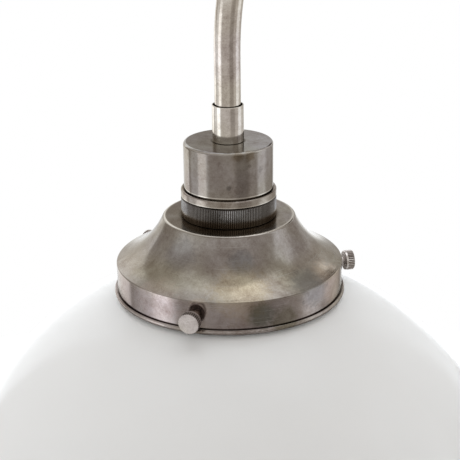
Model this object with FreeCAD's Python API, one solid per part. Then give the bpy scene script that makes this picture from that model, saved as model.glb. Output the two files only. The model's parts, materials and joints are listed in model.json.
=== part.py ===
import FreeCAD, Part
import math
import os

# Hanging pendant wall sconce: a round wall plate, a swan-neck tube, a lampholder with two shade
# rings, a spun gallery with three thumbscrews, and an opal globe round the bulb.
#
# Row frame: the origin is the centre of the wall strap's back face, on the wall. The wall is the
# plane Y = 0, the lamp hangs on the -Y side, and +Z is up.
# Wall pieces are drawn with their axis on Z, where z is the height off the wall, and turned over
# by on_wall(). Lamp pieces are drawn on the lamp's own axis, where z = 0 is the underside of the
# lampholder's flange, and moved by at_lamp().

Vec = FreeCAD.Vector
ORIGIN = Vec(0, 0, 0)
X_AXIS = Vec(1, 0, 0)
Y_AXIS = Vec(0, 1, 0)
Z_AXIS = Vec(0, 0, 1)
TINY = 1e-6
ROUNDING_SHARE = 0.9

# ---- driving dimensions, in mm and degrees ----

# clearances
thread_gap = 0.05          # radial, between a thread or push fit and its hole
pass_gap = 0.3             # radial, between a bolt or tube and a plain hole
turn_gap = 0.1             # between two flat faces that turn on each other
rest_gap = 0.3             # between glass and what holds it

# arm
tube_dia = 12.7
tube_wall = 1.0
arch_radius = 100.0
arch_turn = 135.0          # turn of the large bend over the lamp
wall_bend_radius = 50.0
straight_above_flange = 70.5
arm_stub = 4.0             # straight tube between the boss and the small bend
flex_gap = 0.5             # radial, between the flex and a nipple's bore

# hollow threaded nipples, their nuts and tags
nipple_gap = 0.35          # radial, between a nipple and the tube's bore
nipple_wall = 1.6
nipple_in_tube = 6.0
nut_flats = 14.0
nut_height = 3.5
nut_chamfer = 0.6
tag_dia = 15.0
tag_thick = 0.8
tag_tail = 14.0
tag_tail_width = 5.0
washer_dia = 19.0
washer_thick = 1.0

# insulated cores
core_dia = 2.0
core_bend = 3.0
core_offset = 1.25         # from the flex's centre
core_end_gap = 0.6         # a slanted core stops this far from the face it enters
flex_tail = 0.5            # sheath showing past a nipple

# ferrule and boss: a thread, a socket that holds the tube, and a wider mouth
ferrule_lip = 0.5          # wall round the mouth
ferrule_height = 18.0
seat_thread = 4.0
mouth_gap = 0.8
mouth_depth = 8.0
boss_lip = 1.85
boss_foot_dia = 27.0
boss_foot_height = 4.5
boss_height = 18.0
edge_round = 0.9

# wall strap
strap_end_gap = 9.0        # from each end to the plate's rim
strap_width = 20.0
strap_thick = 1.6
strap_disc_dia = 32.0
cable_entry_dia = 18.0
wall_screw_spacing = 50.0
wall_slot_width = 4.6
wall_slot_length = 8.0
ear_width = 18.0
ear_margin = 3.0           # past the terminal block
stud_inset = 7.0           # from the edge of the plate's face
stud_dia = 4.0
stud_collar_dia = 6.5
stud_collar_height = 1.4

# wall plate
plate_height = 20.0
plate_wall = 1.2
plate_face_dia = 90.0
plate_cove_width = 10.0
plate_rim_height = 6.0
plate_cove_slope = 78.0
plate_rim_slope = 12.0
plate_cove_round = 8.0
acorn_flats = 8.0
acorn_base = 3.2
acorn_height = 7.5
acorn_bore_depth = 5.5

# terminal block
block_ways = 3
block_depth = 16.0
block_base = 3.0
block_height = 11.0
block_drop = 19.0          # from the plate's centre to the block's upper side
block_bar_height = 8.0
tower_dia = 5.4
clamp_screw_dia = 3.0
clamp_screw_head = 4.6
block_screw_dia = 2.5
block_screw_head = 4.2
block_head_gap = 0.2       # between that head and the bar on each side

# lampholder, sized outward from the bulb's cap
cap_wall = 1.3
cap_height = 27.0          # top face above the flange's underside
cap_round = 1.5
cap_reveal = 0.7           # from the flange up to the cap's foot
nipple_in_cap = 12.0
flange_overhang = 1.55     # past the cap
flange_height = 3.6
flange_round = 0.8
spigot_height = 5.0
spigot_wall = 2.6
skirt_thread_depth = 0.8
skirt_thread_pitch = 2.0
skirt_wall = 1.0
skirt_length = 36.0
ledge_width = 1.5
ledge_height = 2.0

# shade rings
upper_ring_height = 9.7
lower_ring_height = 5.0
lower_ring_inset = 0.8     # smaller than the upper ring, all round
ring_top_gap = 0.6
ring_chamfer = 0.4
knurl_pitch = 0.9
knurl_depth = 0.3

# lampholder insides
nipple_room = 1.0          # between the nipple and the posts' screws
insert_foot = 10.0         # below the flange's underside
post_spacing = 18.0
post_dia = 6.0
post_height = 4.5
post_screw_dia = 3.0
post_screw_head = 4.6
post_screw_grip = 3.0
shell_gap = 0.3            # radial, between the bulb's cap and the shell
shell_room = 2.45          # radial, between the shell and the skirt's ledge
shell_wall = 0.5
shell_length = 24.0
shell_mouth_dia = 13.0
shell_screw_spacing = 20.0
shell_screw_dia = 2.4
shell_screw_head = 4.4
head_height = 1.5
contact_dia = 9.0
contact_height = 2.0
rivet_dia = 3.8
rivet_head_dia = 6.4

# gallery
gallery_wall = 1.2
gallery_top_dia = 64.8
gallery_top_round = 1.6
gallery_shoulder_slope = 64.0
gallery_flare_round = 41.0
gallery_crease_slope = 23.0
gallery_crease_dia = 112.4
gallery_crease_depth = 23.2    # below the top face
gallery_crease_round = 0.7
gallery_hole_gap = 0.4
bead_section = 2.8
groove_height = 0.5
groove_depth = 0.55

# thumbscrews
screw_count = 3
first_screw_angle = 16.9   # from straight out of the wall, towards +X
screw_above_foot = 5.4     # above the lower edge of the gallery's band
screw_dia = 4.0
screw_head_dia = 10.1
screw_head_length = 3.4
screw_teeth = 32
screw_tooth_depth = 0.35
screw_chamfer = 0.4
screw_collar_dia = 9.8
screw_collar_width = 1.2
screw_shows = 1.9          # shank between the bush and the head
bush_dia = 5.8
bush_neck_dia = 5.2
bush_stands = 2.0
bush_flange_dia = 7.4
bush_flange_width = 1.2
tip_dia = 3.6
tip_length = 3.2
tip_stem_dia = 1.8
tip_stem_length = 2.5

# globe
globe_dia = 304.8
globe_wall = 3.0
lip_gap = 4.0              # radial, between the globe's lip and the gallery's band
lip_overhang = 4.0         # of the lip, past the neck
lip_height = 4.5
lip_headroom = 1.1         # from the lip up to the gallery's crease
globe_gap = 1.3            # between the gallery's bead and the glass under it

# bulb
bulb_dia = 60.0
bulb_length = 105.0
bulb_wall = 1.0
bulb_shoulder = 35.0       # above and below the envelope's middle, in degrees
bulb_neck_flare = 0.35     # of the glass, past the cap
bulb_cap_dia = 26.3
bulb_cap_length = 21.0
bulb_thread_pitch = 3.6
bulb_thread_depth = 0.9
bulb_cap_wall = 0.6
bulb_pip_dia = 9.4
bulb_pip_height = 1.8
bulb_pip_round = 0.8
bulb_insulator_dia = 19.0
bulb_insulator_height = 2.4

# ---- sizes and places that follow from them ----

nipple_dia = tube_dia - 2 * tube_wall - 2 * nipple_gap
nipple_bore = nipple_dia - 2 * nipple_wall
flex_dia = nipple_bore - 2 * flex_gap
ferrule_dia = tube_dia + 2 * mouth_gap + 2 * ferrule_lip
boss_dia = tube_dia + 2 * mouth_gap + 2 * boss_lip

plate_dia = plate_face_dia + 2 * plate_cove_width
strap_length = plate_dia - 2 * strap_end_gap
stud_spacing = plate_face_dia - 2 * stud_inset
ear_length = block_drop + block_depth + ear_margin
block_pitch = tower_dia + block_screw_head + 2 * block_head_gap

shell_bore = bulb_cap_dia + 2 * shell_gap
skirt_bore = shell_bore + 2 * (shell_wall + shell_room + ledge_width)
skirt_thread_dia = skirt_bore + 2 * (skirt_wall + skirt_thread_depth)
cap_dia = skirt_bore + 2 * (spigot_wall + thread_gap + cap_wall)
flange_dia = cap_dia + 2 * flange_overhang
lower_ring_dia = flange_dia - 2 * lower_ring_inset
bulb_neck_dia = bulb_cap_dia + 2 * bulb_neck_flare

lip_dia = gallery_crease_dia - 2 * gallery_wall - 2 * lip_gap
neck_dia = lip_dia - 2 * lip_overhang
screw_below_crease = lip_headroom + lip_height + rest_gap + screw_dia / 2
band_height = screw_below_crease + screw_above_foot

tube_end = cap_height + seat_thread                # lower end of the tube, on the lamp's axis
boss_seat = plate_height + seat_thread             # wall end of the tube, off the wall
boss_top = plate_height + boss_height
bend_angle = math.radians(180.0 - arch_turn)       # where the large bend meets the small one
bend_start = wall_bend_radius - (arch_radius + wall_bend_radius) * math.sin(bend_angle)
flange_level = bend_start - straight_above_flange  # the lamp's z = 0, in the row frame
lamp_reach = boss_top + arm_stub + arch_radius + (arch_radius + wall_bend_radius) * math.cos(bend_angle)

cap_ceiling = cap_height - cap_wall
nipple_foot = cap_height - nipple_in_cap
nipple_inner_end = plate_height - plate_wall - washer_thick - tag_thick - nut_height - flex_tail
flex_foot = nipple_foot - flex_tail
flex_wall_end = nipple_inner_end - flex_tail
insert_top = nipple_foot - nipple_room - head_height - post_height

upper_ring_top = -ring_top_gap
gallery_top = upper_ring_top - upper_ring_height - turn_gap
gallery_ceiling = gallery_top - gallery_wall
lower_ring_top = gallery_ceiling - turn_gap
crease_level = gallery_top - gallery_crease_depth
band_foot = crease_level - band_height
bead_level = band_foot - bead_section / 2
bead_foot = bead_level - bead_section / 2
screw_level = crease_level - screw_below_crease

band_radius = gallery_crease_dia / 2
neck_radius = neck_dia / 2
tip_start = neck_radius + rest_gap                 # all three are distances from the lamp's axis
shank_start = tip_start + tip_length
collar_start = band_radius + bush_stands + screw_shows

globe_radius = globe_dia / 2
globe_level = bead_foot - globe_gap - math.sqrt(globe_radius**2 - band_radius**2)
lip_foot = screw_level + screw_dia / 2 + rest_gap

rivet_top = insert_top + head_height / 2
contact_foot = -insert_foot - contact_height
bulb_top = contact_foot - rest_gap
bulb_cap_top = bulb_top - bulb_pip_height - bulb_insulator_height
bulb_cap_foot = bulb_cap_top - bulb_cap_length


# ---- outlines: corners are (radius, z, rounding) ----

def rounded_corner(before, corner, after):
    """Start, middle and end of the arc that rounds a corner. A sharp one has no middle."""
    point = Vec(corner[0], 0, corner[1])
    back = Vec(before[0], 0, before[1]) - point
    ahead = Vec(after[0], 0, after[1]) - point
    half_angle = back.getAngle(ahead) / 2
    room = ROUNDING_SHARE * min(back.Length, ahead.Length)
    reach = min(corner[2] / math.tan(half_angle), room)
    if reach < TINY:
        return point, None, point
    back.normalize()
    ahead.normalize()
    radius = reach * math.tan(half_angle)
    inward = (back + ahead).normalize() * (radius / math.sin(half_angle) - radius)
    return point + back * reach, point + inward, point + ahead * reach


def outline(corners):
    """Closed wire of straight lines and tangent arcs through the corners, in the XZ plane."""
    count = len(corners)
    arcs = [rounded_corner(corners[k - 1], corners[k], corners[(k + 1) % count]) for k in range(count)]
    edges = []
    for k, (start, middle, stop) in enumerate(arcs):
        if middle is not None:
            edges.append(Part.Arc(start, middle, stop).toShape())
        following = arcs[(k + 1) % count][0]
        if (following - stop).Length > TINY:
            edges.append(Part.LineSegment(stop, following).toShape())
    return Part.Wire(edges)


def revolved(wire):
    """Solid of revolution of a closed wire about Z."""
    return Part.Face(wire).revolve(ORIGIN, Z_AXIS, 360)


def turned(corners):
    """Solid turned about Z from its corners."""
    return revolved(outline(corners))


def plain(points):
    """Corners with no rounding."""
    return [(radius, z, 0) for radius, z in points]


def collar(outer_dia, inner_dia, low, high, chamfer=0.0):
    """Straight ring, with both outer edges chamfered if asked."""
    outer = outer_dia / 2
    inner = inner_dia / 2
    points = [(inner, low), (outer - chamfer, low), (outer, low + chamfer)]
    points += [(outer, high - chamfer), (outer - chamfer, high), (inner, high)]
    return turned(plain(dict.fromkeys(points)))


def rod(dia, low, high):
    """Solid round bar along Z."""
    return Part.makeCylinder(dia / 2, high - low, Vec(0, 0, low))


def rod_at(dia, low, high, x, y):
    """Solid round bar along Z, off the axis."""
    return Part.makeCylinder(dia / 2, high - low, Vec(x, y, low))


def sheet(corners, wall):
    """Turned sheet of even thickness, on the right of a run of corners from the axis outward."""
    normals = []
    for first, second in zip(corners, corners[1:]):
        along = Vec(second[0] - first[0], 0, second[1] - first[1]).normalize()
        normals.append(Vec(along.z, 0, -along.x))
    inside = []
    for k, (radius, z, rounding) in enumerate(corners):
        before = normals[max(k - 1, 0)]
        after = normals[min(k, len(normals) - 1)]
        shift = (before + after) * (wall / (1 + before.dot(after)))
        bends_in = before.z * after.x - before.x * after.z > 0
        inner_rounding = max(rounding - wall, 0) if bends_in else rounding + wall
        inside.append((radius + shift.x, z + shift.z, inner_rounding if rounding else 0))
    return turned(corners + inside[::-1])


def slope_corner(start, start_slope, end, end_slope):
    """Corner where a steep line down from start meets a flatter line up from end."""
    steep = math.tan(math.radians(start_slope))
    flat = math.tan(math.radians(end_slope))
    drop = start[1] - end[1]
    run = end[0] - start[0]
    out = (drop - flat * run) / (steep - flat)
    return start[0] + out, start[1] - steep * out


# ---- placing ----

def on_wall(shape):
    """Turn a piece drawn on Z so that its z points out of the wall, along -Y."""
    return shape.rotated(ORIGIN, X_AXIS, 90)


def at_lamp(shape):
    """Move a piece from the lamp's own axis to its place in the row frame."""
    return shape.translated(Vec(0, -lamp_reach, flange_level))


def at_screw(shape, index):
    """Lay a piece drawn on Z along one thumbscrew's axis, where z is the distance from the lamp's axis."""
    angle = first_screw_angle + index * 360.0 / screw_count
    laid = shape.rotated(ORIGIN, X_AXIS, 90).rotated(ORIGIN, Z_AXIS, angle)
    return at_lamp(laid.translated(Vec(0, 0, screw_level)))


def pair(shape, spacing, direction):
    """Two copies of a shape, half the spacing to each side of the centre."""
    half = direction * (spacing / 2)
    return [shape.translated(half * -1), shape.translated(half)]


# ---- repeated small parts ----

def hex_prism(flats, height):
    """Hexagonal bar on Z, standing on z = 0."""
    radius = flats / math.sqrt(3)
    corners = [Vec(radius * math.cos(math.radians(60 * k)), radius * math.sin(math.radians(60 * k)), 0)
               for k in range(7)]
    return Part.Face(Part.makePolygon(corners)).extrude(Vec(0, 0, height))


def lock_nut(low):
    """Hexagon nut for a hollow nipple, with chamfered corners."""
    tip = nut_flats / math.sqrt(3)
    limit = collar(2 * tip, nipple_dia + 2 * thread_gap, 0, nut_height, nut_chamfer)
    return hex_prism(nut_flats, nut_height).common(limit).translated(Vec(0, 0, low))


def nipple(low, high):
    """Hollow threaded nipple."""
    return collar(nipple_dia, nipple_bore, low, high)


def earth_tag(low):
    """Ring tag on a nipple, with a tail for its core."""
    tail = Part.makeBox(tag_tail_width, tag_tail, tag_thick, Vec(-tag_tail_width / 2, 0, low))
    hole = rod(nipple_dia + 2 * pass_gap, low, low + tag_thick)
    return rod(tag_dia, low, low + tag_thick).fuse(tail).cut(hole).removeSplitter()


def knurled(dia, depth, teeth, low, high):
    """Round bar with straight V teeth along Z."""
    points = []
    for k in range(2 * teeth + 1):
        radius = dia / 2 - depth * (k % 2)
        angle = math.pi * k / teeth
        points.append(Vec(radius * math.cos(angle), radius * math.sin(angle), low))
    return Part.Face(Part.makePolygon(points)).extrude(Vec(0, 0, high - low))


def slotted_screw(dia, head_dia, seat, foot):
    """Screw on Z with its head on z = seat, its end at z = foot and a slot across the head."""
    slot_width = head_dia / 5
    slot_depth = head_height / 2
    screw = rod(dia, foot, seat).fuse(rod(head_dia, seat, seat + head_height)).removeSplitter()
    corner = Vec(-head_dia / 2, -slot_width / 2, seat + head_height - slot_depth)
    return screw.cut(Part.makeBox(head_dia, slot_width, slot_depth, corner))


def core(start, corner, end):
    """One insulated core: straight, round one bend, straight."""
    back = start - corner
    ahead = end - corner
    half_angle = back.getAngle(ahead) / 2
    reach = min(core_bend / math.tan(half_angle), ROUNDING_SHARE * min(back.Length, ahead.Length))
    back.normalize()
    ahead.normalize()
    radius = reach * math.tan(half_angle)
    middle = corner + (back + ahead).normalize() * (radius / math.sin(half_angle) - radius)
    first = corner + back * reach
    last = corner + ahead * reach
    path = [Part.LineSegment(start, first).toShape(), Part.Arc(first, middle, last).toShape(),
            Part.LineSegment(last, end).toShape()]
    section = Part.Face(Part.Wire(Part.Circle(start, back, core_dia / 2).toShape()))
    return Part.Wire(path).makePipe(section)


# ---- wall end ----

def wall_slots():
    """The two slots for the wall screws, as cutters along the strap."""
    travel = wall_slot_length - wall_slot_width
    ends = pair(rod(wall_slot_width, 0, strap_thick), travel, X_AXIS)
    middle = Part.makeBox(travel, wall_slot_width, strap_thick, Vec(-travel / 2, -wall_slot_width / 2, 0))
    return pair(middle.fuse(ends).removeSplitter(), wall_screw_spacing, X_AXIS)


def wall_strap():
    """Flat steel strap with a round middle and an ear below that carries the terminal block."""
    bar = Part.makeBox(strap_length, strap_width, strap_thick, Vec(-strap_length / 2, -strap_width / 2, 0))
    ear = Part.makeBox(ear_width, ear_length, strap_thick, Vec(-ear_width / 2, -ear_length, 0))
    body = bar.fuse([ear, rod(strap_disc_dia, 0, strap_thick)]).removeSplitter()
    stud_holes = pair(rod(stud_dia + 2 * thread_gap, 0, strap_thick), stud_spacing, X_AXIS)
    cable_entry = rod(cable_entry_dia, 0, strap_thick)
    return body.cut(stud_holes + wall_slots() + [cable_entry, block_screw_hole(0, strap_thick)])


def strap_studs():
    """Two studs set in the strap, each with a collar that stands on it."""
    end = plate_height + acorn_bore_depth - pass_gap
    collar_top = strap_thick + stud_collar_height
    stud = rod(stud_dia, 0, end).fuse(rod(stud_collar_dia, strap_thick, collar_top)).removeSplitter()
    return Part.makeCompound(pair(stud, stud_spacing, X_AXIS))


def wall_plate():
    """Spun plate: flat face, steep cove and a low rim on the wall."""
    face = plate_face_dia / 2
    rim = plate_dia / 2
    cove = slope_corner((face, plate_height), plate_cove_slope, (rim, plate_rim_height), plate_rim_slope)
    corners = [(nipple_dia / 2 + pass_gap, plate_height, 0), (face, plate_height, edge_round + plate_wall),
               (cove[0], cove[1], plate_cove_round), (rim, plate_rim_height, plate_wall), (rim, 0, 0)]
    stud_holes = pair(rod(stud_dia + 2 * pass_gap, 0, plate_height), stud_spacing, X_AXIS)
    return sheet(corners, plate_wall).cut(stud_holes)


def cap_nuts():
    """Two domed nuts on the plate's face."""
    tip = acorn_flats / math.sqrt(3)
    base = hex_prism(acorn_flats, acorn_base)
    base = base.common(turned(plain([(0, 0), (tip, 0), (tip, acorn_base - nut_chamfer),
                                     (tip - nut_chamfer, acorn_base), (0, acorn_base)])))
    dome_radius = acorn_flats / 2 - nut_chamfer
    dome = turned([(0, 0, 0), (dome_radius, 0, 0), (dome_radius, acorn_height, dome_radius),
                   (0, acorn_height, 0)])
    nut = base.fuse(dome).removeSplitter().cut(rod(stud_dia + 2 * thread_gap, 0, acorn_bore_depth))
    return Part.makeCompound(pair(nut.translated(Vec(0, 0, plate_height)), stud_spacing, X_AXIS))


def tube_socket(low, high, outside):
    """Turned piece with a threaded foot, a socket for the tube and a wider mouth, inside these corners."""
    thread = nipple_dia / 2 + thread_gap
    socket = tube_dia / 2 + thread_gap
    mouth = tube_dia / 2 + mouth_gap
    inside = plain([(mouth, high), (mouth, high - mouth_depth), (socket, high - mouth_depth),
                    (socket, low + seat_thread), (thread, low + seat_thread), (thread, low)])
    return turned(outside + inside)


def arm_boss():
    """Turned boss that carries the arm on the wall plate."""
    foot = boss_foot_dia / 2
    side = boss_dia / 2
    foot_top = plate_height + boss_foot_height
    return tube_socket(plate_height, boss_top, [
        (foot, plate_height, 0), (foot, foot_top, boss_foot_height / 2), (side, foot_top, edge_round),
        (side, boss_top, edge_round)])


def wall_nut_levels():
    """Heights off the wall of the washer, the tag and the nut, each one's wall side."""
    washer = plate_height - plate_wall - washer_thick
    tag = washer - tag_thick
    return washer, tag, tag - nut_height


def block_centre():
    """Distance of the terminal block's middle below the plate's centre."""
    return block_drop + block_depth / 2


def way_places():
    """Sideways place of each way of the terminal block."""
    return [(k - (block_ways - 1) / 2) * block_pitch for k in range(block_ways)]


def tower_places():
    """Centres of the block's screw towers, two to a way."""
    offset = block_depth / 2 - tower_dia / 2
    return [(x, -block_centre() + side * offset) for x in way_places() for side in (-1, 1)]


def terminal_block():
    """Block with a base, a bar to each way, two screw towers on each, and wire holes along each way."""
    top = strap_thick + block_height
    base_top = strap_thick + block_base
    bar_height = block_bar_height - block_base
    width = (block_ways - 1) * block_pitch + tower_dia
    low_side = -block_drop - block_depth
    screw_hole_dia = clamp_screw_dia + 2 * thread_gap
    block = Part.makeBox(width, block_depth, block_base, Vec(-width / 2, low_side, strap_thick))
    bars = [Part.makeBox(tower_dia, block_depth, bar_height, Vec(x - tower_dia / 2, low_side, base_top))
            for x in way_places()]
    towers = [rod_at(tower_dia, base_top, top, x, y) for x, y in tower_places()]
    screw_holes = [rod_at(screw_hole_dia, core_level(), top, x, y) for x, y in tower_places()]
    wire_hole_radius = core_dia / 2 + thread_gap
    wire_holes = [Part.makeCylinder(wire_hole_radius, block_depth, Vec(x, low_side, core_level()), Y_AXIS)
                  for x in way_places()]
    body = block.fuse(bars + towers).removeSplitter()
    return body.cut(screw_holes + wire_holes + [block_screw_hole(strap_thick, base_top)])


def block_screw_hole(low, high):
    """Cutter for the screw that holds the block on the strap."""
    return rod_at(block_screw_dia + 2 * thread_gap, low, high, block_pitch / 2, -block_centre())


def core_level():
    """Height off the wall of the cores where they enter the block."""
    return strap_thick + block_base + tower_dia / 2


def terminal_screws():
    """The block's clamping screws, two to a way."""
    seat = strap_thick + block_height
    foot = core_level() + core_dia / 2 + rest_gap
    return Part.makeCompound([slotted_screw(clamp_screw_dia, clamp_screw_head, seat, foot)
                              .translated(Vec(x, y, 0)) for x, y in tower_places()])


def block_screw():
    """Screw between two ways that holds the block on the strap's ear."""
    screw = slotted_screw(block_screw_dia, block_screw_head, strap_thick + block_base, 0)
    return screw.translated(Vec(block_pitch / 2, -block_centre(), 0))


def wall_cores():
    """Three cores from the flex to the terminal block."""
    cores = []
    for index, x in enumerate(way_places()):
        angle = math.radians(90 + index * 360 / block_ways)
        start = Vec(-core_offset * math.sin(angle), core_offset * math.cos(angle), flex_wall_end)
        corner = Vec(start.x, start.y, core_level())
        cores.append(core(start, corner, Vec(x, core_end_gap - block_drop, core_level())))
    return Part.makeCompound(cores)


# ---- arm ----

def arm_path(lamp_end, wall_end):
    """Centre line from a height on the lamp's axis, over the arch, to a distance off the wall."""
    arch_centre = Vec(0, arch_radius - lamp_reach, bend_start)
    low_centre = arch_centre + direction(bend_angle) * (arch_radius + wall_bend_radius)
    start = Vec(0, -lamp_reach, flange_level + lamp_end)
    arch = [arch_centre + direction(angle) * arch_radius
            for angle in (math.pi, (math.pi + bend_angle) / 2, bend_angle)]
    low = [low_centre - direction(angle) * wall_bend_radius
           for angle in (bend_angle, (bend_angle + math.pi / 2) / 2, math.pi / 2)]
    return Part.Wire([Part.LineSegment(start, arch[0]).toShape(), Part.Arc(*arch).toShape(),
                      Part.Arc(*low).toShape(), Part.LineSegment(low[2], Vec(0, -wall_end, 0)).toShape()])


def direction(angle):
    """Unit vector in the YZ plane, at an angle from +Y towards +Z."""
    return Vec(0, math.cos(angle), math.sin(angle))


def swept(path, dia):
    """Round bar along a path that starts upward on the lamp's axis."""
    start = path.OrderedVertexes[0].Point
    section = Part.Face(Part.Wire(Part.Circle(start, Z_AXIS, dia / 2).toShape()))
    return path.makePipe(section)


def arm_tube():
    """Bent tube between the boss and the ferrule."""
    path = arm_path(tube_end, boss_seat)
    return swept(path, tube_dia).cut(swept(path, tube_dia - 2 * tube_wall))


def flex():
    """Sheathed flex inside the arm, from the terminal block's side to the lampholder's."""
    return swept(arm_path(flex_foot, flex_wall_end), flex_dia)


# ---- lamp end ----

def ferrule():
    """Sleeve over the tube's lower end, on the lampholder's cap."""
    side = ferrule_dia / 2
    top = cap_height + ferrule_height
    return tube_socket(cap_height, top, [(side, cap_height, edge_round / 3), (side, top, ferrule_lip / 2)])


def lampholder_cap():
    """Plain cup over the insert, open below."""
    side = cap_dia / 2
    hole = nipple_dia / 2 + pass_gap
    foot = flange_height + cap_reveal
    return sheet([(hole, cap_height, 0), (side, cap_height, cap_round), (side, foot, 0)], cap_wall)


def lampholder_skirt():
    """Outer skirt: a spigot inside the cap, the flange, and the threaded skirt with a ledge inside."""
    spigot = cap_dia / 2 - cap_wall - thread_gap
    flange = flange_dia / 2
    crest = skirt_thread_dia / 2
    root = crest - skirt_thread_depth
    bore = skirt_bore / 2
    turns = int((skirt_length - skirt_thread_pitch) / skirt_thread_pitch)
    thread = []
    for k in range(turns):
        high = -k * skirt_thread_pitch
        thread += [(crest, high - skirt_thread_pitch / 4, 0), (root, high - skirt_thread_pitch * 3 / 4, 0)]
    ledge_top = -insert_foot
    ledge_foot = ledge_top - ledge_height
    ledge = bore - ledge_width
    outside = [(flange, flange_height, flange_round), (flange, 0, flange_round / 4), (root, 0, 0)]
    foot = [(root, -skirt_length, 0), (bore, -skirt_length, 0)]
    inside = [(bore, ledge_foot, 0), (ledge, ledge_foot, 0), (ledge, ledge_top, 0), (bore, ledge_top, 0)]
    rim = flange_height + spigot_height
    top = [(bore, rim, 0), (spigot, rim, 0), (spigot, flange_height, 0)]
    return turned(outside + thread + foot + inside + top)


def shade_ring(dia, low, high):
    """Knurled ring that runs on the skirt's thread."""
    teeth = round(math.pi * dia / knurl_pitch)
    limit = collar(dia, skirt_thread_dia + 2 * turn_gap, low, high, ring_chamfer)
    return knurled(dia, knurl_depth, teeth, low, high).common(limit)


def ceramic_insert():
    """Porcelain body that carries the contacts, on the skirt's ledge."""
    bore = rivet_dia / 2 + thread_gap
    side = skirt_bore / 2 - rest_gap
    body = turned([(bore, -insert_foot, 0), (side, -insert_foot, 0), (side, insert_top, edge_round),
                   (bore, insert_top, 0)])
    screw_hole = rod(shell_screw_dia + 2 * thread_gap, -insert_foot, insert_top)
    return body.cut(pair(screw_hole, shell_screw_spacing, Y_AXIS))


def insert_posts():
    """Two brass posts that the cores are clamped in."""
    top = insert_top + post_height
    hole = rod(post_screw_dia + 2 * thread_gap, top - post_screw_grip, top)
    return Part.makeCompound(pair(rod(post_dia, insert_top, top).cut(hole), post_spacing, X_AXIS))


def post_screws():
    """The posts' clamping screws."""
    seat = insert_top + post_height
    screw = slotted_screw(post_screw_dia, post_screw_head, seat, seat - post_screw_grip)
    return Part.makeCompound(pair(screw, post_spacing, X_AXIS))


def shell_screws():
    """Two screws that hold the screw shell under the insert."""
    screw = slotted_screw(shell_screw_dia, shell_screw_head, insert_top, -insert_foot - shell_wall)
    return Part.makeCompound(pair(screw, shell_screw_spacing, Y_AXIS))


def screw_shell():
    """Brass shell that takes the bulb's cap."""
    side = shell_bore / 2 + shell_wall
    top = -insert_foot
    shell = sheet([(shell_mouth_dia / 2, top, 0), (side, top, shell_wall * 2), (side, top - shell_length, 0)],
                  shell_wall)
    holes = pair(rod(shell_screw_dia + 2 * thread_gap, top - shell_wall, top), shell_screw_spacing, Y_AXIS)
    return shell.cut(holes)


def centre_contact():
    """Centre contact riveted through the insert."""
    disc = contact_dia / 2
    rivet = rivet_dia / 2
    head = rivet_head_dia / 2
    return turned([(0, contact_foot, 0), (disc, contact_foot, edge_round), (disc, -insert_foot, 0),
                   (rivet, -insert_foot, 0), (rivet, insert_top, 0), (head, insert_top, 0),
                   (head, rivet_top, head_height / 4), (0, rivet_top, 0)])


def lamp_cores():
    """Two cores from the flex to the insert's posts."""
    level = rivet_top + core_dia / 2 + rest_gap
    cores = []
    for side in (-1, 1):
        start = Vec(side * core_offset, 0, flex_foot)
        corner = Vec(side * core_offset, 0, level)
        cores.append(core(start, corner, Vec(side * (post_spacing - post_dia) / 2, 0, level)))
    return Part.makeCompound(cores)


# ---- gallery and globe ----

def gallery():
    """Spun gallery: flat top, flare, band with a groove, and a rolled bead."""
    top_edge = (gallery_top_dia / 2, gallery_top)
    crease = (band_radius, crease_level)
    flare = slope_corner(top_edge, gallery_shoulder_slope, crease, gallery_crease_slope)
    hole = skirt_thread_dia / 2 + gallery_hole_gap
    body = sheet([(hole, gallery_top, 0), (*top_edge, gallery_top_round), (*flare, gallery_flare_round),
                  (*crease, gallery_crease_round), (band_radius, bead_level, 0)], gallery_wall)
    bead = Part.makeTorus(band_radius, bead_section / 2, Vec(0, 0, bead_level))
    groove = collar(gallery_crease_dia + bead_section, gallery_crease_dia - 2 * groove_depth,
                    band_foot - groove_height / 2, band_foot + groove_height / 2)
    return body.fuse(bead).cut(groove)


def bush_holes():
    """Cutters for the bushes' necks, already in the row frame."""
    hole = rod(bush_neck_dia + 2 * thread_gap, band_radius - 2 * gallery_wall, band_radius + gallery_wall)
    return [at_screw(hole, index) for index in range(screw_count)]


def screw_bush():
    """Threaded bush through the band, with a flange inside and a collar outside."""
    bore = screw_dia / 2 + thread_gap
    side = bush_dia / 2
    neck = bush_neck_dia / 2
    flange = bush_flange_dia / 2
    flange_face = math.sqrt((band_radius - gallery_wall)**2 - flange**2) - thread_gap
    inner_end = flange_face - bush_flange_width
    seat = band_radius + thread_gap
    outer_end = band_radius + bush_stands
    return turned([(bore, inner_end, 0), (flange, inner_end, 0), (flange, flange_face, 0),
                   (neck, flange_face, 0), (neck, seat, 0), (side, seat, 0),
                   (side, outer_end, screw_chamfer), (bore, outer_end, 0)])


def thumbscrew():
    """Screw with a shank and a head: a smooth collar, then a knurled drum."""
    shank = screw_dia / 2
    collar_side = screw_collar_dia / 2
    drum_start = collar_start + screw_collar_width
    end = drum_start + screw_head_length
    hole = tip_stem_dia / 2 + thread_gap
    hole_end = shank_start + tip_stem_length + turn_gap
    stem = turned([(hole, shank_start, 0), (shank, shank_start, 0), (shank, collar_start, 0),
                   (collar_side, collar_start, screw_chamfer), (collar_side, drum_start, 0),
                   (0, drum_start, 0), (0, hole_end, 0), (hole, hole_end, 0)])
    head = screw_head_dia / 2
    limit = turned(plain([(0, drum_start), (head, drum_start), (head, end - screw_chamfer),
                          (head - screw_chamfer, end), (0, end)]))
    drum = knurled(screw_head_dia, screw_tooth_depth, screw_teeth, drum_start, end).common(limit)
    return stem.fuse(drum).removeSplitter()


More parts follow.
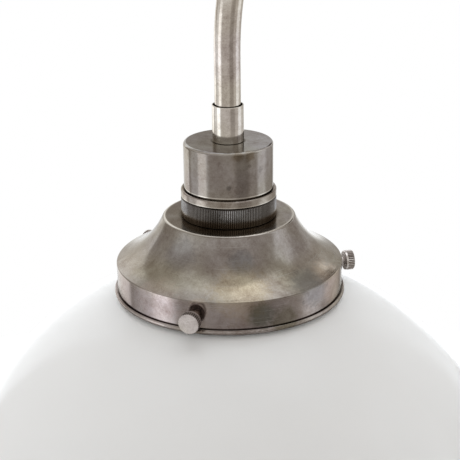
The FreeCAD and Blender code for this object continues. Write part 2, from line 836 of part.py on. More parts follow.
def screw_tip():
    """Soft tip that bears on the globe's neck, with a stem in the screw's end."""
    side = tip_dia / 2
    stem = tip_stem_dia / 2
    shoulder = shank_start - turn_gap
    end = shank_start + tip_stem_length
    return turned([(0, tip_start, 0), (side, tip_start, edge_round / 2), (side, shoulder, 0),
                   (stem, shoulder, 0), (stem, end, 0), (0, end, 0)])


def globe():
    """Blown opal globe with a straight neck and a lip above the thumbscrews."""
    inner_radius = globe_radius - globe_wall
    neck_inner = neck_radius - globe_wall
    lip = lip_dia / 2
    lip_top = lip_foot + lip_height
    outer_join = globe_level + math.sqrt(globe_radius**2 - neck_radius**2)
    inner_join = globe_level + math.sqrt(inner_radius**2 - neck_inner**2)
    outer_arc = Part.Arc(Vec(0, 0, globe_level - globe_radius), Vec(globe_radius, 0, globe_level),
                         Vec(neck_radius, 0, outer_join))
    inner_arc = Part.Arc(Vec(neck_inner, 0, inner_join), Vec(inner_radius, 0, globe_level),
                         Vec(0, 0, globe_level - inner_radius))
    neck = [Vec(radius, 0, z) for radius, z in (
        (neck_radius, outer_join), (neck_radius, lip_foot), (lip, lip_foot + edge_round),
        (lip, lip_top - edge_round), (lip - edge_round, lip_top), (neck_inner, lip_top),
        (neck_inner, inner_join))]
    straight = [Part.LineSegment(a, b).toShape() for a, b in zip(neck, neck[1:])]
    axis = Part.LineSegment(Vec(0, 0, globe_level - inner_radius), Vec(0, 0, globe_level - globe_radius))
    return revolved(Part.Wire([outer_arc.toShape()] + straight + [inner_arc.toShape(), axis.toShape()]))


# ---- bulb ----

def bulb_contact():
    """Centre pip of the bulb."""
    low = bulb_top - bulb_pip_height
    side = bulb_pip_dia / 2
    return turned([(0, low, 0), (side, low, 0), (side, bulb_top, bulb_pip_round), (0, bulb_top, 0)])


def bulb_insulator():
    """Glass cone between the pip and the cap."""
    high = bulb_top - bulb_pip_height
    return turned(plain([(0, bulb_cap_top), (bulb_insulator_dia / 2, bulb_cap_top), (bulb_pip_dia / 2, high),
                         (0, high)]))


def bulb_cap():
    """Hollow screw cap of the bulb, with rounded rings in place of its thread."""
    crest = bulb_cap_dia / 2
    root = crest - bulb_thread_depth
    turns = int(bulb_cap_length / bulb_thread_pitch) - 1
    rounding = bulb_thread_pitch / 5
    thread = []
    for k in range(turns):
        high = bulb_cap_top - (k + 0.5) * bulb_thread_pitch
        thread += [(root, high, rounding), (crest, high - bulb_thread_pitch / 2, rounding)]
    bore = root - bulb_cap_wall
    ceiling = bulb_cap_top - bulb_cap_wall
    inside = plain([(crest, bulb_cap_foot), (bore, bulb_cap_foot), (bore, ceiling), (0, ceiling)])
    return turned([(0, bulb_cap_top, 0), (bulb_insulator_dia / 2, bulb_cap_top, 0)] + thread + inside)


def bulb_glass():
    """Thin glass envelope, closed by the cap."""
    radius = bulb_dia / 2
    neck = bulb_neck_dia / 2
    foot = bulb_top - bulb_length
    ball = foot + radius
    outer = envelope_points(radius, ball)
    inner = envelope_points(radius - bulb_wall, ball)
    start = Vec(neck, 0, bulb_cap_foot)
    inner_start = Vec(neck - bulb_wall, 0, bulb_cap_foot)
    edges = [Part.LineSegment(start, outer[0]), Part.Arc(*outer[0:3]), Part.Arc(*outer[2:5]),
             Part.LineSegment(outer[4], inner[4]), Part.Arc(*inner[4:1:-1]), Part.Arc(*inner[2::-1]),
             Part.LineSegment(inner[0], inner_start), Part.LineSegment(inner_start, start)]
    return revolved(Part.Wire([edge.toShape() for edge in edges]))


def envelope_points(radius, level):
    """Five points down one side of a ball: upper shoulder, middle, lower shoulder, half-way on, foot."""
    angles = [math.radians(a) for a in (bulb_shoulder, 0, -bulb_shoulder, -(bulb_shoulder + 90) / 2, -90)]
    return [Vec(0, 0, level) + Vec(math.cos(a), 0, math.sin(a)) * radius for a in angles]


# ---- all nodes ----

def wall_pieces():
    """Everything at the wall, by node name."""
    washer, tag, nut = wall_nut_levels()
    pieces = {
        "wall_strap": wall_strap(),
        "strap_studs": strap_studs(),
        "wall_plate": wall_plate(),
        "cap_nuts": cap_nuts(),
        "arm_boss": arm_boss(),
        "wall_nipple": nipple(nipple_inner_end, boss_seat + nipple_in_tube),
        "wall_washer": collar(washer_dia, nipple_dia + 2 * pass_gap, washer, washer + washer_thick),
        "wall_earth_tag": earth_tag(tag),
        "wall_lock_nut": lock_nut(nut),
        "terminal_block": terminal_block(),
        "terminal_screws": terminal_screws(),
        "block_screw": block_screw(),
        "wall_cores": wall_cores(),
    }
    return {name: on_wall(shape) for name, shape in pieces.items()}


def lamp_pieces():
    """Everything on the lamp's axis, by node name."""
    pieces = {
        "ferrule": ferrule(),
        "lamp_nipple": nipple(nipple_foot, tube_end + nipple_in_tube),
        "lampholder_cap": lampholder_cap(),
        "cap_earth_tag": earth_tag(cap_ceiling - tag_thick),
        "cap_lock_nut": lock_nut(cap_ceiling - tag_thick - nut_height),
        "lampholder_skirt": lampholder_skirt(),
        "upper_shade_ring": shade_ring(flange_dia, gallery_top + turn_gap, upper_ring_top),
        "lower_shade_ring": shade_ring(lower_ring_dia, lower_ring_top - lower_ring_height, lower_ring_top),
        "ceramic_insert": ceramic_insert(),
        "insert_posts": insert_posts(),
        "post_screws": post_screws(),
        "shell_screws": shell_screws(),
        "screw_shell": screw_shell(),
        "centre_contact": centre_contact(),
        "lamp_cores": lamp_cores(),
        "globe": globe(),
        "bulb_contact": bulb_contact(),
        "bulb_insulator": bulb_insulator(),
        "bulb_cap": bulb_cap(),
        "bulb_glass": bulb_glass(),
    }
    placed = {name: at_lamp(shape) for name, shape in pieces.items()}
    placed["gallery"] = at_lamp(gallery()).cut(bush_holes())
    return placed


def screw_pieces():
    """Thumbscrews, their tips and bushes, by node name."""
    pieces = {"screw_bushes": Part.makeCompound([at_screw(screw_bush(), k) for k in range(screw_count)])}
    for index in range(screw_count):
        pieces["thumbscrew_%d" % (index + 1)] = at_screw(thumbscrew(), index)
        pieces["screw_tip_%d" % (index + 1)] = at_screw(screw_tip(), index)
    return pieces


def main():
    os.makedirs("parts", exist_ok=True)
    nodes = {**wall_pieces(), "arm_tube": arm_tube(), "flex": flex(), **lamp_pieces(), **screw_pieces()}
    for name, shape in nodes.items():
        shape.exportStep("parts/%s.step" % name)
        print("%-18s solids %d  valid %s  volume %.2f"
              % (name, len(shape.Solids), shape.isValid(), shape.Volume))
    print("lamp reach %.2f, flange level %.2f, globe centre %.2f, thumbscrew level %.2f"
          % (lamp_reach, flange_level, flange_level + globe_level, flange_level + screw_level))


main()
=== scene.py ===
import json
import math

import bpy
from mathutils import Matrix, Vector

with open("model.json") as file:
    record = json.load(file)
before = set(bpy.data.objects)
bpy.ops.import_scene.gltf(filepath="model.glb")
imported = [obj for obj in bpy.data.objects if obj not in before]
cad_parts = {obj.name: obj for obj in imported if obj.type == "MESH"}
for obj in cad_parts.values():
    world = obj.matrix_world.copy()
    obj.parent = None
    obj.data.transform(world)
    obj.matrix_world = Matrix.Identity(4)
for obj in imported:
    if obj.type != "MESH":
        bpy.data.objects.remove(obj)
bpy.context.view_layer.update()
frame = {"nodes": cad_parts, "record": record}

# ---- where the lamp hangs, in the row frame, in metres
AXIS_Y = -0.24807                 # the lamp's upright axis is at X 0 and this Y
FLANGE_Z = -0.12657               # underside of the lampholder's flange

# ---- the camera that the photograph was taken with, round the lamp
CAMERA_AZIMUTH = math.radians(34)
CAMERA_ELEVATION = 0.331919437
CAMERA_DISTANCE = 0.588512663
CAMERA_PITCH = 0.362448782
CAMERA_YAW = 0.000816809908
CAMERA_ROLL = -0.0105575739
IMAGE_SIDE = 460
FOCAL_PIXELS = 1200
SENSOR_MM = 36

MM = 0.001

# ---- the studio
FLOOR_Z = -0.78
FLOOR_RADIUS = 1.25
FLOOR_SIDES = 96
FLOOR_TONES = ((0.8, 0.8, 0.795), (0.82, 0.82, 0.815))
FLOOR_LIFT = 0.45                 # light that the floor gives to the camera alone
WHITE = (1, 1, 1)

# ---- finishes: noise scales are per metre, depths are in metres
GRAIN_SCALE = 1500.0
GRAIN_DEPTH = 0.000004
RING_SCALE = 2400.0
RING_DEPTH = 0.0000025
BROAD_NOISE = (4.0, 0.6, 0.5)     # detail, roughness and distortion of the noises that make the patina
FINE_NOISE = (5.0, 0.65, 0.3)
GRAIN_NOISE = (2.0, 0.6)
CLOUD_SHARES = (0.5, 0.3, 0.2)    # of the broad, the fine and the grain noise
CLOUD_STEPS = (0.36, 0.45, 0.53, 0.64)
DULL_CLOUD, BRIGHT_CLOUD = 0.42, 0.6
HUE_COARSENESS = 0.55             # of the drift between olive and rose, to the broad clouds
STAIN_CORE = 0.45                 # share of a stain's size that has its full tint
SCRATCH_SHARE = 0.35
RIM_WEAR_AND_HIGHLIGHT_SHARE = 0.7
SCRATCH_AND_CREASE_ROUGHNESS = 0.12
SCRATCH_TURNS = ((0.3, 0.2, 0.1), (1.1, -0.4, 0.7), (-0.5, 0.9, 1.9))
SCRATCH_SCALE = (45, 45, 2400)
TONE_STEPS = ((0.62, 0.80, 0.66), (0.84, 0.865, 0.745), (1.0, 0.90, 0.80), (1.22, 0.925, 0.85))
OLIVE = (1.0, 0.985, 0.93)
ROSE = (1.0, 0.97, 0.985)
# Paler colour for rims: wear, and painted highlights along edges.
RIM_WEAR_AND_HIGHLIGHT = (0.62, 0.58, 0.52)
EDGE_TINT = (0.6, 0.58, 0.55)
# Darkens creases and the gaps between parts: painted shade, a little grimy as well.
SHADE_AND_GRIME = (0.28, 0.25, 0.22)
# Darkens the bottoms of knurl teeth: painted shade.
GROOVE_SHADE = (0.22, 0.19, 0.17)

# ---- knurling, in mm: the shade ring's teeth, and those of the thumbscrews' heads
RING_TIP, RING_TOOTH, RING_FOOT = 23.42, 0.3, -10.3
HEAD_TIP, HEAD_TOOTH = 5.05, 0.35
HEAD_START, HEAD_END = 61.4, 64.5     # along the screw, from the lamp's axis
SCREW_HEIGHT = -41.5
SCREW_AZIMUTHS = (-17.1, 102.9, -137.1)   # degrees to the right of the camera


def turned_to_camera(v):
    """A vector of the frame whose -Y side faces the camera, in the row frame."""
    return Matrix.Rotation(CAMERA_AZIMUTH, 3, "Z") @ Vector(v)


def bearing(azimuth, elevation):
    """A direction from the lamp, by its azimuth, in degrees to the right of the camera as it looks, and
    its elevation above the horizon."""
    a, e = math.radians(azimuth), math.radians(elevation)
    return turned_to_camera((math.sin(a) * math.cos(e), -math.cos(a) * math.cos(e), math.sin(e)))


def add_camera():
    pitch, yaw, roll = CAMERA_PITCH, CAMERA_YAW, CAMERA_ROLL
    ahead = Vector((math.sin(yaw) * math.cos(pitch), math.cos(yaw) * math.cos(pitch), -math.sin(pitch)))
    right = Vector((math.cos(yaw), -math.sin(yaw), 0))
    up = right.cross(ahead)
    x = turned_to_camera(math.cos(roll) * right + math.sin(roll) * up)
    y = turned_to_camera(math.cos(roll) * up - math.sin(roll) * right)
    z = -turned_to_camera(ahead)
    back = turned_to_camera((0, -math.cos(CAMERA_ELEVATION), math.sin(CAMERA_ELEVATION)))
    place = Vector((0, AXIS_Y, FLANGE_Z)) + CAMERA_DISTANCE * back
    data = bpy.data.cameras.new("camera")
    data.sensor_width = SENSOR_MM
    data.lens = FOCAL_PIXELS / IMAGE_SIDE * SENSOR_MM
    data.clip_start, data.clip_end = 0.01, 50
    camera = bpy.data.objects.new("camera", data)
    camera.matrix_world = Matrix.Translation(place) @ Matrix((x, y, z)).transposed().to_4x4()
    bpy.context.scene.collection.objects.link(camera)
    bpy.context.scene.camera = camera


class Nodes:
    """A node tree, with a short call for each kind of node that the finishes use."""

    def __init__(self, tree):
        self.tree = tree
        tree.nodes.clear()

    def add(self, kind, inputs=(), **properties):
        node = self.tree.nodes.new(kind)
        for name, value in properties.items():
            setattr(node, name, value)
        for key, value in dict(inputs).items():
            self.put(node.inputs[key], value)
        return node

    def put(self, socket, value):
        if isinstance(value, bpy.types.NodeSocket):
            self.tree.links.new(value, socket)
        else:
            socket.default_value = value

    def math(self, operation, *values):
        return self.add("ShaderNodeMath", enumerate(values), operation=operation).outputs[0]

    def vector(self, operation, output, *values):
        return self.add("ShaderNodeVectorMath", enumerate(values), operation=operation).outputs[output]

    def combine(self, x, y, z):
        return self.add("ShaderNodeCombineXYZ", enumerate((x, y, z))).outputs[0]

    def separate(self, vector):
        return self.add("ShaderNodeSeparateXYZ", {0: vector}).outputs

    def noise(self, vector, scale, detail=4.0, roughness=0.55, distortion=0.0):
        node = self.add(
            "ShaderNodeTexNoise",
            {"Vector": vector, "Scale": scale, "Detail": detail, "Roughness": roughness,
             "Distortion": distortion},
        )
        return node.outputs["Fac"]

    def span(self, value, low, high, at_low=0.0, at_high=1.0):
        """The value from low to high, smoothed, as at_low to at_high."""
        node = self.add(
            "ShaderNodeMapRange",
            {"Value": value, "From Min": low, "From Max": high, "To Min": at_low, "To Max": at_high},
            interpolation_type="SMOOTHSTEP",
        )
        return node.outputs[0]

    def blend(self, share, a, b, mode="MIX"):
        """Colour a at share 0 and colour b at share 1."""
        node = self.add("ShaderNodeMix", data_type="RGBA", blend_type=mode)
        sockets = {s.identifier: s for s in node.inputs}
        for key, value in (("Factor_Float", share), ("A_Color", a), ("B_Color", b)):
            self.put(sockets[key], rgba(value) if isinstance(value, tuple) else value)
        return [s for s in node.outputs if s.identifier == "Result_Color"][0]

    def ramp(self, value, stops):
        """A colour ramp through (position, colour) stops."""
        node = self.add("ShaderNodeValToRGB", {0: value})
        elements = node.color_ramp.elements
        for i, (position, colour) in enumerate(stops):
            element = elements[i] if i < 2 else elements.new(position)
            element.position, element.color = position, rgba(colour)
        return node.outputs[0]

    def bump(self, height, distance, normal=None):
        inputs = {"Height": height, "Distance": distance}
        if normal is not None:
            inputs["Normal"] = normal
        return self.add("ShaderNodeBump", inputs).outputs[0]


def rgba(colour):
    return (*colour, 1.0)


def finish_of(name, **sockets):
    """A new material's Nodes and its Principled shader, with the values that are the same all over."""
    material = bpy.data.materials.new(name)
    material.use_nodes = True
    n = Nodes(material.node_tree)
    shader = n.add("ShaderNodeBsdfPrincipled", {k.replace("_", " "): v for k, v in sockets.items()})
    n.add("ShaderNodeOutputMaterial", {"Surface": shader.outputs[0]})
    return material, n, shader


def object_place(n):
    return n.add("ShaderNodeTexCoord").outputs["Object"]


def round_axis(n, place, axis):
    """(distance from the axis, way along it) of a place: the lamp's upright axis, or the wall plate's."""
    x, y, z = n.separate(place)
    if axis == "wall":
        across, along = z, n.math("MULTIPLY", y, -1.0)
    else:
        across, along = n.math("SUBTRACT", y, AXIS_Y), n.math("SUBTRACT", z, FLANGE_Z)
    squares = n.math("ADD", n.math("MULTIPLY", x, x), n.math("MULTIPLY", across, across))
    return n.math("SQRT", squares), along


def lamp_point(azimuth, radius, height):
    """A place on the lamp: degrees to the right of the camera, mm from the axis, and mm above the flange."""
    way = bearing(azimuth, 0)
    return Vector((0, AXIS_Y, FLANGE_Z)) + way * radius * MM + Vector((0, 0, height * MM))


def near_ring(n, radius, along, rings):
    """1 on any of the rings, each (radius, way along the axis, reach) in mm, and 0 past its reach."""
    share = 0.0
    for ring_radius, ring_along, reach in rings:
        out = n.math("SUBTRACT", radius, ring_radius * MM)
        up = n.math("SUBTRACT", along, ring_along * MM)
        away = n.math("SQRT", n.math("ADD", n.math("MULTIPLY", out, out), n.math("MULTIPLY", up, up)))
        share = n.math("MAXIMUM", share, n.span(away, reach * MM, 0.0))
    return share


def groove_share(n, radius, tip, depth):
    """1 at the bottom of a knurl whose teeth reach out to the tip radius, 0 at the tips and inside it."""
    cut = n.span(radius, (tip - 0.1 * depth) * MM, (tip - 0.75 * depth) * MM)
    return n.math("MULTIPLY", cut, n.span(radius, (tip - 1.4 * depth) * MM, (tip - 1.2 * depth) * MM))


def knurl_grooves(n, place, radius, along, knurl):
    """Share of groove on the shade ring's teeth, or on those of the three thumbscrews' heads."""
    if knurl == "ring":
        share = groove_share(n, radius, RING_TIP, RING_TOOTH)
        return n.math("MULTIPLY", share, n.span(along, (RING_FOOT + 0.2) * MM, (RING_FOOT + 0.5) * MM))
    share = 0.0
    for azimuth in SCREW_AZIMUTHS:
        start, way = tuple(lamp_point(azimuth, 0, SCREW_HEIGHT)), tuple(bearing(azimuth, 0))
        out = n.vector("SUBTRACT", "Vector", place, start)
        away = n.vector("LENGTH", "Value", n.vector("CROSS_PRODUCT", "Vector", out, way))
        reach = n.vector("DOT_PRODUCT", "Value", out, way)
        head = n.math("MULTIPLY", n.math("GREATER_THAN", reach, HEAD_START * MM),
                      n.math("LESS_THAN", reach, HEAD_END * MM))
        teeth = n.math("MULTIPLY", head, groove_share(n, away, HEAD_TIP, HEAD_TOOTH))
        share = n.math("MAXIMUM", share, teeth)
    return share


# ---- metals
def metal(name, tones, rough, axis="lamp", clouds=(60, 420), bands=(), tint_patches=(), rims=(), shaded_grimy_creases=(),
          relief=1.0, knurl=None):
    """Plated metal: clouds of patina in four tones from dark to pale, scratches, the fine rings that
    turning leaves, bands of another tint along the axis (patina, and some painted highlights and
    painted reflections), patches of tint (stained patina, and some painted highlights), painted shade
    in the grooves of a knurl, and, as rings in mm, rims paled by wear and painted highlights, and
    creases darkened by painted shade, a little grimy as well."""
    material, n, shader = finish_of(name, Metallic=1.0, Specular_Tint=rgba(EDGE_TINT))
    place = object_place(n)
    radius, along = round_axis(n, place, axis)
    broad = n.noise(place, clouds[0], *BROAD_NOISE)
    fine = n.noise(place, clouds[1], *FINE_NOISE)
    grain = n.noise(place, GRAIN_SCALE, *GRAIN_NOISE)
    broad_part, fine_part, grain_part = (
        n.math("MULTIPLY", noise, share) for noise, share in zip((broad, fine, grain), CLOUD_SHARES)
    )
    cloud = n.math("ADD", n.math("ADD", broad_part, fine_part), grain_part)
    colour = n.ramp(cloud, zip(CLOUD_STEPS, tones))
    hue = n.span(n.noise(place, clouds[0] * HUE_COARSENESS, 2.0, 0.5), 0.38, 0.62)
    olive, rose = (n.blend(1.0, colour, tint, "MULTIPLY") for tint in (OLIVE, ROSE))
    colour = n.blend(hue, olive, rose)
    for low, high, soft, tint in bands:
        share = n.math("MULTIPLY", n.span(along, (low - soft) * MM, (low + soft) * MM),
                       n.span(along, (high + soft) * MM, (high - soft) * MM))
        # Bands tint the metal: patina, and on some pieces painted highlights and painted reflections.
        colour = n.blend(share, colour, tint, "MULTIPLY")
    for spot, size, tint in tint_patches:
        away = n.vector("DISTANCE", "Value", place, tuple(lamp_point(*spot)))
        ragged = n.math("MULTIPLY", n.math("SUBTRACT", fine, 0.5), size * MM)
        share = n.span(n.math("ADD", away, ragged), size * MM, size * MM * STAIN_CORE)
        # Patches are tinted: stained patina, and where they brighten the gallery's band, painted highlights.
        colour = n.blend(share, colour, tint, "MULTIPLY")
    scratch = scratches(n, place)
    rim_wear_and_highlight_share = near_ring(n, radius, along, rims)
    shade_and_grime_share = n.math("MULTIPLY", near_ring(n, radius, along, shaded_grimy_creases), n.span(fine, 0.2, 0.6, 0.5, 1.0))
    colour = n.blend(n.math("MULTIPLY", scratch, SCRATCH_SHARE), colour, tones[3])
    # Rims are paled: wear, and painted highlights along edges.
    colour = n.blend(n.math("MULTIPLY", rim_wear_and_highlight_share, RIM_WEAR_AND_HIGHLIGHT_SHARE), colour, RIM_WEAR_AND_HIGHLIGHT)
    # Creases and the gaps between parts are darkened: painted shade, a little grimy as well.
    colour = n.blend(shade_and_grime_share, colour, SHADE_AND_GRIME, "MULTIPLY")
    if knurl:
        # The grooves of the knurl are darkened: painted shade.
        colour = n.blend(knurl_grooves(n, place, radius, along, knurl), colour, GROOVE_SHADE, "MULTIPLY")
    smooth, dull = rough
    roughness = n.span(cloud, DULL_CLOUD, BRIGHT_CLOUD, dull, smooth)
    roughness = n.math("ADD", roughness, n.math("MULTIPLY", n.math("ADD", scratch, shade_and_grime_share), SCRATCH_AND_CREASE_ROUGHNESS))
    rings = n.noise(n.combine(radius, along, 0.0), RING_SCALE, 2.0, 0.5)
    normal = n.bump(rings, relief * RING_DEPTH)
    normal = n.bump(grain, relief * GRAIN_DEPTH, normal)
    normal = n.bump(scratch, -relief * GRAIN_DEPTH, normal)
    n.put(shader.inputs["Base Color"], colour)
    n.put(shader.inputs["Roughness"], roughness)
    n.put(shader.inputs["Normal"], normal)
    return material


def scratches(n, place):
    """1 on thin lines that run a few ways over the surface."""
    share = 0.0
    for turn in SCRATCH_TURNS:
        mapped = n.add("ShaderNodeMapping", {"Vector": place, "Rotation": turn, "Scale": SCRATCH_SCALE})
        lines = n.noise(mapped.outputs[0], 1.0, 1.0, 0.4, 0.6)
        share = n.math("MAXIMUM", share, n.span(lines, 0.7, 0.78))
    return share


def tones_of(level, warmth=0.85):
    """Four tones of one metal, dark to pale, round a brightness, each a little browner the darker it is."""
    return [(level * k, level * k * (1 - warmth * (1 - g)), level * k * (1 - warmth * (1 - b)))
            for k, g, b in TONE_STEPS]


def plain(name, colour, other, rough, scale=300.0, bump=0.00001, **sockets):
    """A clean surface of one colour that drifts a little towards another, with a fine uneven skin."""
    material, n, shader = finish_of(name, **sockets)
    place = object_place(n)
    drift = n.noise(place, scale, 5.0, 0.6)
    n.put(shader.inputs["Base Color"], n.blend(n.span(drift, 0.35, 0.65), colour, other))
    n.put(shader.inputs["Roughness"], n.span(drift, 0.3, 0.7, rough[0], rough[1]))
    n.put(shader.inputs["Normal"], n.bump(n.noise(place, scale * 4, 3.0), bump))
    return material


def opal_glass():
    """Flashed opal glass: a white body under a clear glossy skin, a little wavy, as blown glass is."""
    material, n, shader = finish_of(
        "opal_glass", IOR=1.45, Specular_IOR_Level=0.22,
        Subsurface_Weight=0.4, Subsurface_Scale=0.012, Subsurface_Radius=(1, 1, 1),
        Coat_Weight=0.05, Coat_Roughness=0.03
    )
    place = object_place(n)
    drift = n.noise(place, 9.0, 3.0, 0.5)
    white = n.blend(n.span(drift, 0.3, 0.7), (0.785, 0.785, 0.775), (0.815, 0.815, 0.805))
    n.put(shader.inputs["Base Color"], white)
    n.put(shader.inputs["Roughness"], n.span(n.noise(place, 40.0, 3.0), 0.3, 0.7, 0.05, 0.08))
    n.put(shader.inputs["Normal"], n.bump(n.noise(place, 14.0, 2.0), 0.0004))
    return material


def pearl_glass():
    """Pearl glass of the lamp bulb."""
    material, n, shader = finish_of("bulb_glass", IOR=1.5, Transmission_Weight=0.55)
    place = object_place(n)
    drift = n.noise(place, 60.0, 3.0, 0.5)
    n.put(shader.inputs["Base Color"], n.blend(drift, (0.9, 0.9, 0.89), (0.95, 0.95, 0.94)))
    n.put(shader.inputs["Roughness"], n.span(drift, 0.3, 0.7, 0.3, 0.42))
    return material


# Marks that the photograph shows: ((degrees, mm from the axis, mm above the flange), size in mm, tint)
# The marks with tints above 1 on the band, 56.2 mm out, brighten it: painted highlights, over paler patina.
GALLERY_STAINS_AND_HIGHLIGHTS = (
    ((8, 38.7, -21), 8, (0.84, 0.89, 0.94)),
    ((46, 54, -33), 13, (0.80, 0.85, 0.90)),
    ((15, 56.2, -41), 8, (0.62, 0.68, 0.62)),
    ((27, 56.2, -45), 9, (0.70, 0.71, 0.62)),
    ((-15, 56.2, -37), 6, (1.25, 1.22, 1.16)),
    ((-38, 38, -20), 11, (0.9, 0.92, 0.96)),
    ((-38, 56.2, -38), 15, (1.4, 1.38, 1.42)),
    ((62, 56.2, -36), 14, (1.75, 1.7, 1.63)),
    ((6, 50, -31), 17, (1.18, 1.14, 1.0)),
    ((42, 56.2, -40), 11, (1.2, 1.2, 1.19)),
    ((-76, 56.2, -40), 20, (1.3, 1.32, 1.33)),
)
CUP_STAINS = (
    ((0, 21.8, 10), 1.6, (0.62, 0.62, 0.62)),
    ((27, 21.8, 20), 1.3, (0.7, 0.68, 0.66)),
    ((44, 21.8, 17), 2.0, (0.8, 0.8, 0.8)),
    ((12, 21.6, 25.4), 3.4, (0.72, 0.66, 0.58)),
    ((28, 21.6, 25.4), 3.4, (0.74, 0.68, 0.6)),
    ((20, 21.8, 14), 7.0, (0.9, 0.89, 0.88)),
)

MATERIALS = {
    "gallery": metal(
        "gallery", tones_of(0.255, 0.8), (0.11, 0.19),
        # The second band brightens the bead: a painted highlight. The other two tint the patina.
        bands=((-60, -34, 0.6, (1.0, 0.975, 1.01)), (-52, -47.2, 0.3, (1.14, 1.15, 1.12)),
               (-33.5, -24, 4.0, (1.06, 1.05, 0.96))),
        tint_patches=GALLERY_STAINS_AND_HIGHLIGHTS,
        # The gallery's top edge is paled: a painted highlight over wear.
        rims=((31.7, -10.5, 1.1),),
        # The crease, the foot of the band and the gap under the shade ring are darkened: painted shade, a
        # little grimy as well.
        shaded_grimy_creases=((56.3, -33.6, 0.4), (56.0, -46.9, 0.6), (23.0, -10.4, 2.5)), relief=0.6,
    ),
    "cup": metal(
        "cup", tones_of(0.25, 0.8), (0.08, 0.15), tint_patches=CUP_STAINS,
        # Brightens and cools the cup's top and its rounded edge: a painted highlight.
        bands=((26.6, 29, 0.3, (1.32, 1.4, 1.52)),),
        # The cup's top and bottom edges are paled, painted highlights over wear; the foot of the ferrule is
        # darkened, painted shade.
        rims=((21.7, 26.6, 0.5), (21.87, 4.6, 0.5)), shaded_grimy_creases=((8.0, 27.0, 0.9),), relief=0.4,
    ),
    "skirt": metal(
        "skirt", tones_of(0.3, 0.85), (0.14, 0.22),
        # The flange's lower edge is paled, a painted highlight over wear; the gaps to the cup and to the
        # shade ring are darkened, painted shade.
        rims=((23.3, 0.2, 0.7),), shaded_grimy_creases=((21.9, 3.8, 0.5), (23.2, -0.3, 0.5)),
    ),
    "tube": metal("tube", tones_of(0.56, 0.6), (0.09, 0.15), clouds=(45, 500), relief=0.2),
    "ferrule": metal(
        "ferrule", tones_of(0.54, 0.55), (0.08, 0.13),
        # The ferrule's top and bottom edges are paled: painted highlights over wear.
        rims=((7.4, 44.6, 0.7), (7.5, 27.4, 0.6)), relief=0.2,
    ),
    "wall_plate": metal(
        "wall_plate", tones_of(0.25), (0.19, 0.3), axis="wall", rims=((54, 1.0, 1.2), (45, 19.6, 1.5)),
    ),
    "dark_nickel": metal(
        "dark_nickel", tones_of(0.33, 0.35), (0.16, 0.24), knurl="ring", relief=0.5,
        # The lower band darkens and browns the ring: a painted reflection of the gallery's dark top. The
        # upper band cools it: a painted reflection of the pale light above.
        bands=((-10.6, -7.2, 0.8, (0.72, 0.62, 0.52)), (-6.5, 0, 1.0, (0.96, 1.0, 1.07))),
    ),
    "bright_nickel": metal("bright_nickel", tones_of(0.62, 0.4), (0.24, 0.34), knurl="heads", relief=0.5),
    "zinc_steel": metal("zinc_steel", tones_of(0.55, 0.05), (0.28, 0.42)),
    "brass": metal(
        "brass", ((0.4, 0.27, 0.11), (0.56, 0.41, 0.18), (0.66, 0.49, 0.22), (0.76, 0.6, 0.3)),
        (0.22, 0.38),
    ),
    "solder": metal("solder", tones_of(0.5, 0.1), (0.3, 0.45)),
    "bulb_cap": metal("bulb_cap", tones_of(0.62, 0.05), (0.28, 0.4)),
    "nylon": plain("nylon", (0.82, 0.81, 0.76), (0.76, 0.745, 0.69), (0.42, 0.52), Subsurface_Weight=0.2),
    "white_plastic": plain("white_plastic", (0.82, 0.82, 0.8), (0.78, 0.78, 0.755), (0.34, 0.44)),
    "porcelain": plain(
        "porcelain", (0.86, 0.85, 0.82), (0.8, 0.79, 0.755), (0.12, 0.24), Coat_Weight=0.5,
    ),
    "core_sheath": plain("core_sheath", (0.30, 0.12, 0.05), (0.34, 0.14, 0.06), (0.4, 0.5)),
    "flex_sheath": plain("flex_sheath", (0.03, 0.03, 0.031), (0.045, 0.044, 0.043), (0.42, 0.56)),
    "opal_glass": opal_glass(),
    "bulb_glass": pearl_glass(),
    "black_glass": plain("black_glass", (0.012, 0.012, 0.014), (0.02, 0.02, 0.022), (0.08, 0.16)),
}


# The aged nickel differs a little from piece to piece, as its plate and polish do.
AGED_NICKEL = {
    "gallery": "gallery", "screw_bushes": "gallery",
    "lampholder_cap": "cup", "lampholder_skirt": "skirt",
    "arm_tube": "tube", "ferrule": "ferrule",
    "wall_plate": "wall_plate", "arm_boss": "wall_plate", "cap_nuts": "wall_plate",
}


def dress_nodes():
    """Each CAD node takes the finish of its slot in the record."""
    slots = {p["node"]: p["material_slot"] for p in frame["record"]["subparts"]}
    for node, thing in frame["nodes"].items():
        for place in thing.material_slots:
            place.material = MATERIALS[AGED_NICKEL.get(node, slots[node])]
        for face in thing.data.polygons:
            face.use_smooth = True


# ---- studio
def add_floor():
    mesh = bpy.data.meshes.new("floor")
    ring = [(FLOOR_RADIUS * math.cos(a), AXIS_Y + FLOOR_RADIUS * math.sin(a), FLOOR_Z)
            for a in (2 * math.pi * i / FLOOR_SIDES for i in range(FLOOR_SIDES))]
    mesh.from_pydata(ring, [], [tuple(range(FLOOR_SIDES))])
    floor = bpy.data.objects.new("floor", mesh)
    bpy.context.scene.collection.objects.link(floor)
    material = bpy.data.materials.new("floor")
    material.use_nodes = True
    n = Nodes(material.node_tree)
    place = object_place(n)
    tone = n.blend(n.noise(place, 3.0, 2.0), *FLOOR_TONES)
    diffuse = n.add("ShaderNodeBsdfDiffuse", {"Color": tone})
    seen = n.add("ShaderNodeLightPath").outputs
    lift = n.math("MULTIPLY", seen["Is Camera Ray"], FLOOR_LIFT)
    glow = n.add("ShaderNodeEmission", {"Color": rgba(WHITE), "Strength": lift})
    both = n.add("ShaderNodeAddShader", {0: diffuse.outputs[0], 1: glow.outputs[0]})
    n.add("ShaderNodeOutputMaterial", {"Surface": both.outputs[0]})
    mesh.materials.append(material)


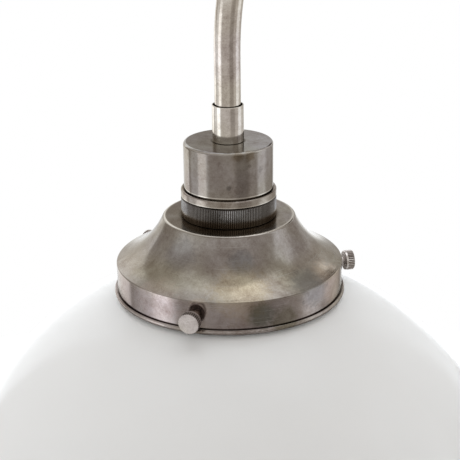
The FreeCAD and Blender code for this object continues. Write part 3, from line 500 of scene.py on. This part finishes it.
# Each panel of the studio is a soft-edged patch of light round the lamp. Azimuths are in degrees to the
# right of the camera as it looks, elevations above the horizon:
# (azimuth from, to, softness, elevation from, to, softness, brightness)
# They add to ROOM, the brightness all round, and the light is warm where it is dim and cool where bright.
ROOM = 0.74
DIM, BRIGHT = 0.4, 1.3
DIM_LIGHT = (1.0, 0.93, 0.86)
BRIGHT_LIGHT = (0.965, 0.99, 1.015)
PANELS = (
    (-84, -58, 7, -60, 12, 12, 0.90),      # tall box on the left
    (-112, -52, 10, -70, 6, 10, 0.38),     # wall on the left, below the horizon
    (-98, 36, 16, 12, 36, 16, 0.32),       # wall behind the camera, above the horizon
    (-174, -136, 5, -10, 40, 12, 0.92),    # pale backdrop, left half
    (-158, -121, 5, -70, -8, 12, 1.45),
    (-181, -158, 10, -70, -8, 12, 0.75),
    (156, 181, 12, -70, -8, 10, 0.90),     # pale backdrop, right half
    (140, 181, 12, -12, 32, 10, 0.45),
    (80, 107, 12, -60, 42, 14, 0.62),      # box on the right
    (104, 146, 10, -60, 30, 12, 0.22),
    (18, 54, 14, -60, 12, 12, -0.27),      # the room behind the camera is darkest on the right
    (-181, -70, 30, 56, 100, 14, 0.38),    # light from above, mostly behind the lamp
    (80, 181, 30, 56, 100, 12, 0.95),
    (-181, 181, 1, 70, 100, 12, 0.35),
)


def add_world():
    world = bpy.data.worlds.new("studio")
    world.use_nodes = True
    bpy.context.scene.world = world
    n = Nodes(world.node_tree)
    way = n.add("ShaderNodeTexCoord").outputs["Generated"]

    def along(toward):
        return n.vector("DOT_PRODUCT", "Value", way, tuple(toward))

    azimuth = n.math("DEGREES", n.math("ARCTAN2", along(bearing(90, 0)), along(bearing(0, 0))))
    elevation = n.math("DEGREES", n.math("ARCSINE", along(bearing(0, 90))))
    level = ROOM
    for az_from, az_to, az_soft, el_from, el_to, el_soft, brightness in PANELS:
        share = brightness
        sides = (azimuth, az_from, az_to, az_soft / 2), (elevation, el_from, el_to, el_soft / 2)
        for angle, low, high, soft in sides:
            share = n.math("MULTIPLY", share, n.span(angle, low - soft, low + soft))
            share = n.math("MULTIPLY", share, n.span(angle, high + soft, high - soft))
        level = n.math("ADD", level, share)
    tint = n.blend(n.span(level, DIM, BRIGHT), DIM_LIGHT, BRIGHT_LIGHT)
    around = n.add("ShaderNodeBackground", {"Color": tint, "Strength": level})
    white = n.add("ShaderNodeBackground", {"Color": rgba(WHITE), "Strength": 1.0})
    seen = n.add("ShaderNodeLightPath").outputs
    shares = {0: seen["Is Camera Ray"], 1: around.outputs[0], 2: white.outputs[0]}
    both = n.add("ShaderNodeMixShader", shares)
    n.add("ShaderNodeOutputWorld", {"Surface": both.outputs[0]})


add_camera()
dress_nodes()
add_floor()
add_world()
bpy.context.scene.view_settings.view_transform = "Standard"
